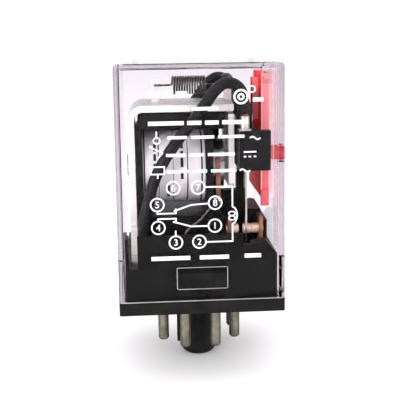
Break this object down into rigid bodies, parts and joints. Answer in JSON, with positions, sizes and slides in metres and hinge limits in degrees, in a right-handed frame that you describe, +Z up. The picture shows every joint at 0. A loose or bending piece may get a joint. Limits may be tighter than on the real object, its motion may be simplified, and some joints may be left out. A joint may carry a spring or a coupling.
{
  "type": "plug-in relay",
  "caption": "Plug-in control relay with an octal pin base, clear cover, open magnet with changeover contacts and a side test button.",
  "frame": {"origin": "centre of the octal pin circle on the underside of the base flange, which is the seating plane", "axes": "+Z up through the cover, away from the pins; -Y is the printed front; +X is the side with the test button; the key rib points to -X"},
  "size_m": [0.0364, 0.0344, 0.0677],
  "materials": {
    "clear_plastic": "clear injection-moulded polycarbonate, polished",
    "black_phenolic": "black moulded thermoset, satin",
    "black_nylon": "black moulded nylon, satin",
    "red_plastic": "red moulded plastic, semi-gloss",
    "plated_steel": "zinc-plated sheet steel",
    "iron": "plated soft iron",
    "spring_steel": "dark drawn spring wire",
    "pin_plating": "nickel-plated brass, aged",
    "solder": "dull tin solder",
    "copper": "bare copper strip",
    "copper_braid": "fine stranded copper",
    "enamelled_copper": "enamelled magnet wire",
    "coil_tape": "pale insulating tape",
    "lead_sleeve": "thin insulating sleeve",
    "black_sleeve": "black silicone-varnished sleeve",
    "contact_spring": "nickel-silver strip",
    "contact_silver": "silver-faced copper rivet"
  },
  "bodies": {
    "root": {"base": "black_phenolic", "bobbin": "black_nylon", "coil_lead_back": "lead_sleeve", "coil_lead_front": "lead_sleeve", "coil_tape": "coil_tape", "coil_winding": "enamelled_copper", "core": "iron", "cover": "clear_plastic", "nc_contact_back": "contact_silver", "nc_contact_front": "contact_silver", "nc_terminal_back": "copper", "nc_terminal_front": "copper", "no_contact_back": "contact_silver", "no_contact_front": "contact_silver", "no_terminal_back": "copper", "no_terminal_front": "copper", "pigtail_braid_back": "copper_braid", "pigtail_braid_front": "copper_braid", "pigtail_sleeve_back": "black_sleeve", "pigtail_sleeve_front": "black_sleeve", "pin_1": "pin_plating", "pin_2": "pin_plating", "pin_3": "pin_plating", "pin_4": "pin_plating", "pin_5": "pin_plating", "pin_6": "pin_plating", "pin_7": "pin_plating", "pin_8": "pin_plating", "pin_solder": "solder", "return_spring": "spring_steel", "shading_ring": "copper", "yoke": "plated_steel"},
    "armature": {"armature": "plated_steel", "contact_carrier": "black_nylon", "armature_rivets": "plated_steel", "moving_spring_front": "contact_spring", "moving_spring_back": "contact_spring", "moving_contact_front": "contact_silver", "moving_contact_back": "contact_silver", "pigtail_lug_front": "contact_spring", "pigtail_lug_back": "contact_spring"},
    "test_lever": {"test_lever": "red_plastic"}
  },
  "joints": [
    {"name": "test_lever_pivot", "type": "hinge", "parent": "root", "child": "test_lever", "pos_m": [0.0145, 0, 0.048], "axis": [0, 1, 0], "range_deg": [0, 3.4], "stiffness_Nm_per_rad": 0.02, "springref_deg": -5.73},
    {"name": "armature_pivot", "type": "hinge", "parent": "root", "child": "armature", "pos_m": [0.0065, 0, 0.0416], "axis": [0, 1, 0], "range_deg": [0, 1.9], "stiffness_Nm_per_rad": 0.05, "springref_deg": -8.59, "deforming": ["return_spring", "pigtail_sleeve_front", "pigtail_sleeve_back", "pigtail_braid_front", "pigtail_braid_back"]}
  ],
  "couplings": [
    {"joint": "armature_pivot", "follows": "test_lever_pivot", "ratio": 0.5588}
  ]
}
